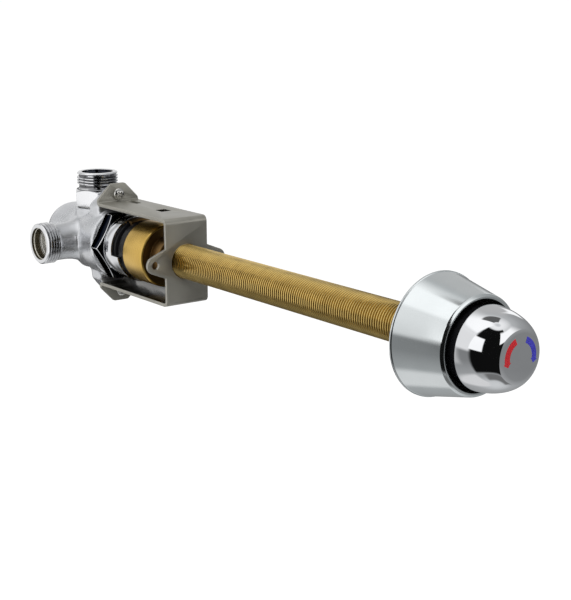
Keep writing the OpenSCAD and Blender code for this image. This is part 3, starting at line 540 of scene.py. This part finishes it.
def cut(mesh, cutters):
    """The mesh less each cutter."""
    for cutter in cutters:
        tool = linked("cutter", cutter)
        mesh = with_modifiers(mesh, ("BOOLEAN", {"object": tool, "operation": "DIFFERENCE", "solver": "MANIFOLD"}))
        bpy.data.objects.remove(tool)
    return mesh


# %% Valve casting
REACH, BORE_R, THREAD_LEN, RIM = 44.5, 10.2, 8.6, 1.2
ARM_END = REACH - THREAD_LEN - 0.6
NIPPLE_HOLE_R, BODY_BORE_R, CHECK_IN = 12.25, 14.5, 19.1
SKIN_VOXEL, SKIN_ROUNDS = 0.75, 34


def port_rim(place, end):
    """The plain rounded ring at a port's end, from its bore to just under the thread's crests."""
    outline = [(BORE_R, end - RIM), (PORT_R - 0.35, end - RIM), (PORT_R - 0.1, end - RIM + 0.2),
               (PORT_R - 0.1, end - 0.7), (PORT_R - 0.75, end), (BORE_R, end)]
    ring = turned(round_corners(outline, [0, 0.1, 0.1, 0.4, 0.4, 0.3], 4), 96)
    ring.transform(place @ Matrix.Rotation(math.pi / 2, 4, "X"))
    return ring


def casting_finish(at, normal):
    """0 the cast skin, 1 the threads, 2 the bores, darkened as painted shade, 3 the faced ends."""
    if abs(at.x) > 20 and math.hypot(at.y - PORT_Y, at.z) < BORE_R + 0.2:
        return 2
    if abs(at.x) > ARM_END - 0.2:
        return 3 if abs(at.x) > REACH - RIM - 0.05 else 1
    return 0


skin = with_modifiers(merged_copy("valve_body"),
                      ("REMESH", {"mode": "VOXEL", "voxel_size": SKIN_VOXEL * MM}),
                      ("SMOOTH", {"factor": 0.5, "iterations": SKIN_ROUNDS}))
bores = [rod(along((0, 1, 0), (0, 60, 0)), BODY_BORE_R, 82.2),
         rod(along((0, 0, 1), (0, PORT_Y, 0)), NIPPLE_HOLE_R, 60)]
ends = []
for side in (-1, 1):
    bores.append(rod(along((side, 0, 0), (side * CHECK_IN, PORT_Y, 0)), BORE_R, 40))
    bores.append(rod(along((side, 0, 0), (side * ARM_END, PORT_Y, 0)), 16, 20))
    ends.append(thread(along((side, 0, 0), (side * (ARM_END - 0.3), PORT_Y, 0)), PORT_R, PORT_ROOT,
                       BORE_R, REACH - RIM - ARM_END + 0.4, port_thread))
    ends.append(port_rim(along((side, 0, 0), (0, PORT_Y, 0)), REACH))
casting = joined_mesh(cut(skin, bores), *ends)
keep(dress(casting, blasted_chrome, port_thread, bore_in_painted_shade, milled_chrome, choose=casting_finish),
     "casting", "valve_body", sharp=40.0)

# %% [markdown]
# The outlet nipple is screwed into the top of the casting, and takes the pipe to the shower head. It keeps
# its hexagon from the CAD model. It could be built anew, but only its thread is missing, so its plain upper
# end is drawn in a little under a threaded piece, with the same rounded ring on top as the inlets.

# %% Outlet nipple
OUTLET_END, HEX_TOP, THREAD_FOOT, CORE_R = 43.4, 32.2, 34.3, 11.9


def outlet_finish(at, normal):
    """0 the thread, 1 the hexagon and the faced end, 2 the water way, darkened as painted shade."""
    if math.hypot(at.x, at.y - PORT_Y) < BORE_R + 0.1 and at.z < OUTLET_END - 0.4:
        return 2
    return 0 if HEX_TOP + 0.1 < at.z < OUTLET_END - RIM - 0.05 else 1


nipple = merged_copy("outlet_nipple")
for vertex in nipple.vertices:
    x, y, z = vertex.co / MM
    out = math.hypot(x, y - PORT_Y)
    if z > THREAD_FOOT - 0.5 and out > CORE_R:
        share = CORE_R / out
        vertex.co.x, vertex.co.y = x * share * MM, (PORT_Y + (y - PORT_Y) * share) * MM
    if z > OUTLET_END - 0.1:
        vertex.co.z = (OUTLET_END - 0.3) * MM
top = thread(along((0, 0, 1), (0, PORT_Y, THREAD_FOOT)), PORT_R, PORT_ROOT, BORE_R + 0.05,
             OUTLET_END - RIM - THREAD_FOOT + 0.1, outlet_thread)
outlet = joined_mesh(bevelled(nipple, 0.25), top, port_rim(along((0, 0, 1), (0, PORT_Y, 0)), OUTLET_END))
keep(dress(outlet, outlet_thread, milled_chrome, painted_dark_chrome, choose=outlet_finish),
     "outlet_with_thread", "outlet_nipple")

# %% [markdown]
# Turned pieces. The wall flange and the knob are spun and polished, so they need a smooth profile with
# small radii: a mirror shows every flat, and the CAD facets would stripe it. Only the flange's outside is
# polished; its inside is rougher and darkened as painted shade. The brass cap is turned from bar; only its
# outside keeps the bright brass, and its front face and hub are darkened as painted shade.

# %% Wall flange
WALL_Y, MOUTH_Y, FLANGE_R, MOUTH_R, LIP = -220.6, -250.2, 31.1, 22.3, 2.2
FRONT_R = MOUTH_R + LIP
WALL, HUB_R, HUB_BORE = 1.2, 13.98, 10.53


def cone(y):
    """The radius of the flange's outside at a place along the tube."""
    return FRONT_R + (FLANGE_R - FRONT_R) * (y - MOUTH_Y) / (WALL_Y - MOUTH_Y)


flange_outline = [
    (FLANGE_R - 1.2, WALL_Y), (FLANGE_R, WALL_Y), (FLANGE_R, WALL_Y - 1.1),
    (cone(WALL_Y - 1.2) - 0.25, WALL_Y - 1.3), (cone(MOUTH_Y + 1.2), MOUTH_Y + 1.2),
    (FRONT_R - 1.0, MOUTH_Y), (MOUTH_R, MOUTH_Y), (MOUTH_R, MOUTH_Y + 3.0),
    (cone(MOUTH_Y + 4.2) - WALL, MOUTH_Y + 4.2), (cone(-232) - WALL, -232), (HUB_R, -232), (HUB_R, -236),
    (HUB_BORE, -236), (HUB_BORE, -224.6), (HUB_R, -224.6), (HUB_R, -229.6), (cone(-229.6) - WALL, -229.6)]
flange_radii = [0.2, 0.35, 0.3, 0.3, 1.2, 0.9, 0.5, 0.2, 0.4, 0.2, 0.2, 0.2, 0, 0, 0.2, 0.2, 0.2]
# Faces inside the flange take the rough chrome darkened as painted shade.
flange = dress(turned(round_corners(flange_outline, flange_radii, 6), 192), flange_chrome, flange_inside_in_painted_shade,
               choose=lambda at, normal: int(math.hypot(at.x, at.z) < cone(at.y) - 0.9 and at.y > MOUTH_Y + 0.7))
keep(flange, "conical_flange", "wall_flange")

# %% Knob cap
KNOB_R, KNOB_REAR, KNOB_EDGE, FACE_R, CROWN = 20.9, -253.8, -274.8, 12.6, 0.7
LEAD, INNER_R, SHELL = 2.8, 9.75, 1.4
RX = KNOB_R - INNER_R
END = math.acos((FACE_R - INNER_R) / RX)
RY = (KNOB_REAR - KNOB_EDGE + LEAD) / math.sin(END)
START = math.asin(LEAD / RY)


def dome(rx, ry, angle):
    """A point of the knob's side, a quarter of an ellipse that is set out from the axis."""
    return INNER_R + rx * math.cos(angle), KNOB_REAR + LEAD - ry * math.sin(angle)


def crown(r):
    """The place of the knob's slightly domed face at a radius."""
    return KNOB_EDGE - 0.25 - CROWN * (1 - (r / FACE_R) ** 2)


outer = [dome(RX, RY, START + 0.03 + (END - START - 0.05) * k / 48) for k in range(49)]
face = [(r, crown(r)) for r in ((FACE_R - 0.4) * (1 - k / 16) for k in range(1, 17))]
inner_start = math.asin(LEAD / (RY - SHELL))
inner_end = math.asin((KNOB_REAR + LEAD - KNOB_EDGE - 1.9) / (RY - SHELL))
inner = [dome(RX - SHELL, RY - SHELL, inner_end + (inner_start - inner_end) * k / 20) for k in range(21)]
rear = [(KNOB_R - 0.5, KNOB_REAR), (KNOB_R - 0.12, KNOB_REAR - 0.25)]
knob = turned([(0, KNOB_EDGE + 1.9)] + inner + rear + outer + face, 192)
grub_hole = rod(along((0, 0, 1), (0, KNOB_REAR - 8.5, -KNOB_R - 1)), 1.9, 8)
keep(dress(cut(knob, [grub_hole]), mirror_chrome), "knob", "knob_cap", sharp=50.0)

# %% [markdown]
# The arrows are enamel inlays that follow the crowned face: red runs down the left and blue down the
# right, each with a head at its lower end. A mask in the chrome could colour them, but enamel stands a
# little proud and has its own gloss. So each is a strip of quads laid on the crown, with a second strip
# sunk below it and a rim between the two.

# %% Arrows
ARROW_R, ARROW_W, HEAD_W, HEAD_FROM, HEAD_TURN = 8.6, 3.0, 4.5, 190.5, 13.5
PROUD, SUNK, ACROSS = 0.05, 0.35, 6


def arrow(name, side, finish, node):
    """A band from beside the top down to a pointed head."""
    rows = [(a, ARROW_W / 2) for a in range(112, 191, 3)]
    rows += [(HEAD_FROM + HEAD_TURN * k / 6, HEAD_W / 2 * (1 - k / 6)) for k in range(7)]
    bm = bmesh.new()
    layers = []
    for lift in (PROUD, -SUNK):
        grid = []
        for degrees, half in rows:
            c, s = math.cos(math.radians(degrees)), math.sin(math.radians(degrees))
            radii = [ARROW_R + max(half, 0.02) * (2 * k / ACROSS - 1) for k in range(ACROSS + 1)]
            grid.append([bm.verts.new((-side * r * c * MM, (crown(r) - lift) * MM, r * s * MM)) for r in radii])
        layers.append(grid)
    last = len(rows) - 1
    rim = [(i, 0) for i in range(last + 1)] + [(last, k) for k in range(1, ACROSS + 1)]
    rim += [(i, ACROSS) for i in range(last - 1, -1, -1)] + [(0, k) for k in range(ACROSS - 1, 0, -1)]
    for grid in layers:
        for one, two in zip(grid, grid[1:]):
            for k in range(ACROSS):
                bm.faces.new((one[k], one[k + 1], two[k + 1], two[k]))
    for (i, j), (m, n) in zip(rim, rim[1:] + rim[:1]):
        bm.faces.new((layers[0][i][j], layers[0][m][n], layers[1][m][n], layers[1][i][j]))
    bmesh.ops.recalc_face_normals(bm, faces=bm.faces)
    keep(dress(mesh_of(bm, name), finish), name, node)


arrow("red_arrow", -1, hot_red, "hot_arrow")
arrow("blue_arrow", 1, cold_blue, "cold_arrow")

# %% Brass cap
CAP_R, SEAT_R = 19.5, 15.05
cap_outline = [(10.53, 12), (12.98, 12), (12.98, 21), (CAP_R, 21), (CAP_R, 43), (SEAT_R, 43), (SEAT_R, 36.2),
               (5.2, 36.2), (5.2, 33), (10.53, 33)]
# Faces inside the cap's outer radius, its front face and hub, take the brass darkened as painted shade.
cap = dress(turned(round_corners(cap_outline, [0, 0.8, 0.3, 1.2, 0.3, 0.2, 0, 0, 0, 0], 5), 144),
            cap_brass, brass_in_painted_shade, choose=lambda at, normal: int(math.hypot(at.x, at.z) < CAP_R - 1.3))
keep(cap, "bell_cap", "brass_cap")

# %% [markdown]
# The rest keeps its CAD form. Pressed, milled and moulded edges are never razor sharp, so copies of the
# nodes that are seen get a small rolled edge, which also catches the light as the real ones do. It is a
# Bevel modifier, applied, and not the shader's rounded normals, so the edge is in the mesh itself. The
# bracket's sheet is brighter where it was cut, and darker inside its fold and in its holes, as painted shade.

# %% Softened edges
def bracket_finish(at, normal):
    """2, the sheet with painted shade, inside the fold and in the holes, else 0."""
    behind_the_front = normal.y > 0.9 and at.y < 3
    under_a_flange = normal.z * at.z < 0 and abs(normal.z) > 0.5 and at.y > 1
    in_a_hole = abs(normal.z) < 0.3 and abs(at.x) < 9 and 3 < at.y < 60 and abs(at.z) > 20
    return 2 if behind_the_front or under_a_flange or in_a_hole else 0


# The bracket takes painted shade inside its fold and in its holes; its cut edges are brighter.
soft_edged("bracket", "folded_bracket", 0.35, zinc_edge, zinc_with_painted_shade, bracket_finish)
# The nut's faces take the chrome with painted dark reflection; its rolled edges keep the plain mirror chrome.
soft_edged("bonnet_nut", "hexagon_nut", 0.3, mirror_chrome)
for node, name, width in (
        ("stop_collar", "castellated_collar", 0.3), ("head_ring", "black_head", 0.25),
        ("bracket_screw_top", "screw_top", 0.12), ("bracket_screw_bottom", "screw_bottom", 0.12),
        ("knob_carrier", "carrier", 0.25), ("stop_key", "key", 0.2),
        ("inlet_clip_left", "clip_left", 0.28), ("inlet_filter_left", "strainer_left", 0.3),
        ("inlet_clip_right", "clip_right", 0.28), ("inlet_filter_right", "strainer_right", 0.3)):
    soft_edged(node, name, width)

# %% [markdown]
# The studio has a pale floor well below, since the mixer hangs on its bracket, and soft lamps that only
# light what is matt. Metal shows what stands around it. A photograph of a room could serve, but then its
# windows could not be moved one by one, so metal gets a room of its own: a grey that changes
# with the height and turns white near the top, and a set of cards and dark screens round about.

# %% Floor
FLOOR_Z, FLOOR_HALF = -0.30, 45


def floor_finish():
    """White to the camera, with a faint shadow."""
    material, tree, shader = new_graph("pale floor")
    shader.inputs["Base Color"].default_value = (0.9, 0.9, 0.9, 1)
    shader.inputs["Roughness"].default_value = 0.9
    shader.inputs["Specular IOR Level"].default_value = 0.0
    share = maths(tree, "MULTIPLY", add(tree, "ShaderNodeLightPath").outputs["Is Camera Ray"], 0.85)
    white = add(tree, "ShaderNodeEmission", {"Color": (1, 1, 1, 1), "Strength": 1.13})
    seen = add(tree, "ShaderNodeMixShader", {0: share, 1: shader.outputs[0], 2: white.outputs[0]})
    tree.links.new(seen.outputs[0], tree.nodes["Material Output"].inputs["Surface"])
    return material


corners = [(x * FLOOR_HALF, y * FLOOR_HALF, FLOOR_Z) for x, y in ((-1, -1), (1, -1), (1, 1), (-1, 1))]
ground = bpy.data.meshes.new("floor")
ground.from_pydata(corners, [], [(0, 1, 2, 3)])
ground.materials.append(floor_finish())
floor = linked("floor", ground)
floor.visible_glossy = False
print("floor at", FLOOR_Z, "m")

# %% Surround
ROOM = ((0.0, 0.68), (0.07, 0.42), (0.33, 0.25), (0.5, 0.24), (0.67, 0.31), (0.82, 0.40), (0.93, 0.52))
OVERHEAD = (0.64, 0.65, 0.66, 1)

world = bpy.data.worlds.new("studio")
bpy.context.scene.world = world
world.use_nodes = True
tree = world.node_tree
sky = tree.nodes["Background"]
sky.inputs["Color"].default_value = (1, 1, 1, 1)
sky.inputs["Strength"].default_value = 0.45
look = add(tree, "ShaderNodeSeparateXYZ", {0: add(tree, "ShaderNodeTexCoord").outputs["Generated"]})
height = add(tree, "ShaderNodeMapRange", {"Value": look.outputs["Z"], "From Min": -1.0})
ramp = add(tree, "ShaderNodeValToRGB", {"Fac": height.outputs[0]})
for k, (place, grey) in enumerate(ROOM):
    stop = ramp.color_ramp.elements.new(place) if k else ramp.color_ramp.elements[0]
    stop.color = (0.97 * grey, 0.99 * grey, grey, 1)
# A new ramp ends in white, and that stop stays: the room is white round a small grey patch straight overhead.
ramp.color_ramp.elements.new(1.0).color = OVERHEAD
room = add(tree, "ShaderNodeBackground", {"Color": ramp.outputs[0], "Strength": 1.0})
white = add(tree, "ShaderNodeBackground", {"Color": (1, 1, 1, 1), "Strength": 1.0})
ray = add(tree, "ShaderNodeLightPath").outputs
clear = maths(tree, "ADD", ray["Is Camera Ray"], ray["Is Transmission Ray"], use_clamp=True)
plain = add(tree, "ShaderNodeMixShader", {0: clear, 1: sky.outputs[0], 2: white.outputs[0]})
both = add(tree, "ShaderNodeMixShader", {0: ray["Is Glossy Ray"], 1: plain.outputs[0], 2: room.outputs[0]})
tree.links.new(both.outputs[0], tree.nodes["World Output"].inputs["Surface"])
print("room of", len(ROOM), "greys from the floor up")


# %% Lamps
def lamp(name, place, target, size, power):
    """A soft lamp that looks at a target and that no metal mirrors."""
    light = bpy.data.lights.new(name, "AREA")
    light.shape, light.size, light.size_y, light.energy = "RECTANGLE", size[0], size[1], power
    obj = linked(name, light)
    look = Vector(target) - Vector(place)
    obj.matrix_world = Matrix.Translation(place) @ look.to_track_quat("-Z", "Y").to_matrix().to_4x4()
    obj.visible_glossy = False
    print(name, "lamp of", power, "W")


lamp("key", (-0.9, -0.5, 1.1), (0, -0.05, 0), (0.9, 0.6), 16)
lamp("fill", (0.9, -1.0, 0.6), (0, -0.1, 0), (0.8, 0.8), 6)
lamp("rim", (-0.6, 0.9, 0.7), (0, 0.05, 0), (0.8, 0.5), 6)

# %% [markdown]
# Each card or screen is a piece of a sphere round the knob or round the valve, because a bearing is what
# decides where a mirror shows it. Its edges fade out, as those of a card out of focus do. A bearing of 0
# faces -Y, 90 faces +X, and up is positive. A small radius keeps a card from showing in what is far from it.

# %% Cards and screens
CARD_STEPS = 12


def card_finish(name, grey, soft):
    """Even light that fades out to clear at each side over a share of the card's width or height."""
    material, tree, shader = new_graph(name)
    uv = add(tree, "ShaderNodeSeparateXYZ", {0: add(tree, "ShaderNodeUVMap", uv_map="span").outputs[0]})
    cover = None
    for side, width in enumerate(soft):
        start, end = (0.0, width) if side % 2 == 0 else (1.0, 1.0 - width)
        fade = add(tree, "ShaderNodeMapRange", {"Value": uv.outputs["XXYY"[side]], "From Min": start,
                                                "From Max": end}, interpolation_type="SMOOTHSTEP").outputs[0]
        cover = fade if cover is None else maths(tree, "MULTIPLY", cover, fade)
    light = add(tree, "ShaderNodeEmission", {"Color": (grey, grey, grey, 1), "Strength": 1.0})
    clear = add(tree, "ShaderNodeBsdfTransparent")
    mix = add(tree, "ShaderNodeMixShader", {0: cover, 1: clear.outputs[0], 2: light.outputs[0]})
    tree.links.new(mix.outputs[0], tree.nodes["Material Output"].inputs["Surface"])
    return material


def card(name, azimuths, elevations, grey, soft, radius, about):
    """A card between two bearings and two heights in degrees, which only metal sees.
    soft says over how many degrees it fades at its start, end, foot and top."""
    across, upward = (b - a for a, b in (azimuths, elevations))
    steps = [k / CARD_STEPS for k in range(CARD_STEPS + 1)]
    verts, span = [], [(i, j) for i in steps for j in steps]
    for i, j in span:
        a, e = math.radians(azimuths[0] + across * i), math.radians(elevations[0] + upward * j)
        look = Vector((math.sin(a) * math.cos(e), -math.cos(a) * math.cos(e), math.sin(e)))
        verts.append(Vector((0, about, 0)) + look * radius)
    row = CARD_STEPS + 1
    starts = [i * row + j for i in range(CARD_STEPS) for j in range(CARD_STEPS)]
    mesh = bpy.data.meshes.new(name)
    mesh.from_pydata(verts, [], [(k, k + 1, k + row + 1, k + row) for k in starts])
    uv = mesh.uv_layers.new(name="span")
    for loop in mesh.loops:
        uv.data[loop.index].uv = span[loop.vertex_index]
    shares = [s / d for s, d in zip(soft, (across, across, upward, upward))]
    mesh.materials.append(card_finish(name, grey, shares))
    obj = linked(name, mesh)
    obj.visible_camera = obj.visible_shadow = obj.visible_diffuse = False


AT_KNOB, AT_VALVE = -0.26, 0.10
CARDS = (
    ("dark room around the camera", (-110, -6), (-50, 74), 0.005, (6, 6, 8, 5), 0.36, AT_KNOB),
    ("white card above the camera", (-33, 64), (26, 66), 1.12, (3, 44, 4, 8), 0.34, AT_KNOB),
    ("window", (-110, -84), (6, 41), 1.14, (2, 3, 3, 3), 0.33, AT_KNOB),
    ("dark boom above", (114, 198), (65, 85), 0.12, (8, 8, 3, 3), 0.36, AT_KNOB),
    ("white ceiling", (-214, -108), (38, 84), 1.12, (52, 6, 12, 6), 2.1, AT_KNOB),
    ("light wall on the left", (-170, -104), (-2, 48), 0.86, (20, 6, 8, 8), 2.2, AT_KNOB),
    ("low wall on the left", (-150, -120), (-34, 6), 0.5, (12, 10, 10, 6), 2.3, AT_KNOB),
    ("pale floor on the left", (-196, -108), (-84, -46), 0.72, (20, 12, 8, 8), 2.4, AT_KNOB),
    ("dark floor in front", (-100, 60), (-76, -48), 0.17, (20, 20, 10, 4), 2.5, AT_KNOB),
    ("pale wall behind", (112, 176), (4, 62), 0.50, (12, 14, 8, 14), 2.5, AT_KNOB),
    ("dark floor behind", (146, 206), (-46, -8), 0.09, (8, 10, 8, 8), 2.35, AT_KNOB),
    ("strip light beside the valve", (14, 66), (7, 26), 1.05, (8, 8, 4, 6), 0.34, AT_VALVE),
    ("card beside the outlet", (-112, -50), (-36, 40), 1.05, (10, 10, 8, 8), 0.16, AT_VALVE),
    ("light wall beside the valve", (-178, -112), (-42, 14), 0.8, (14, 10, 14, 12), 0.62, AT_VALVE),
    ("dark card on the right", (6, 92), (-58, 12), 0.03, (16, 16, 16, 8), 0.21, AT_VALVE),
    ("white card behind the bracket", (112, 206), (0, 40), 0.75, (24, 20, 8, 14), 0.5, AT_VALVE))
for row in CARDS:
    card(*row)
print("studio ready:", len(CARDS), "cards and screens")
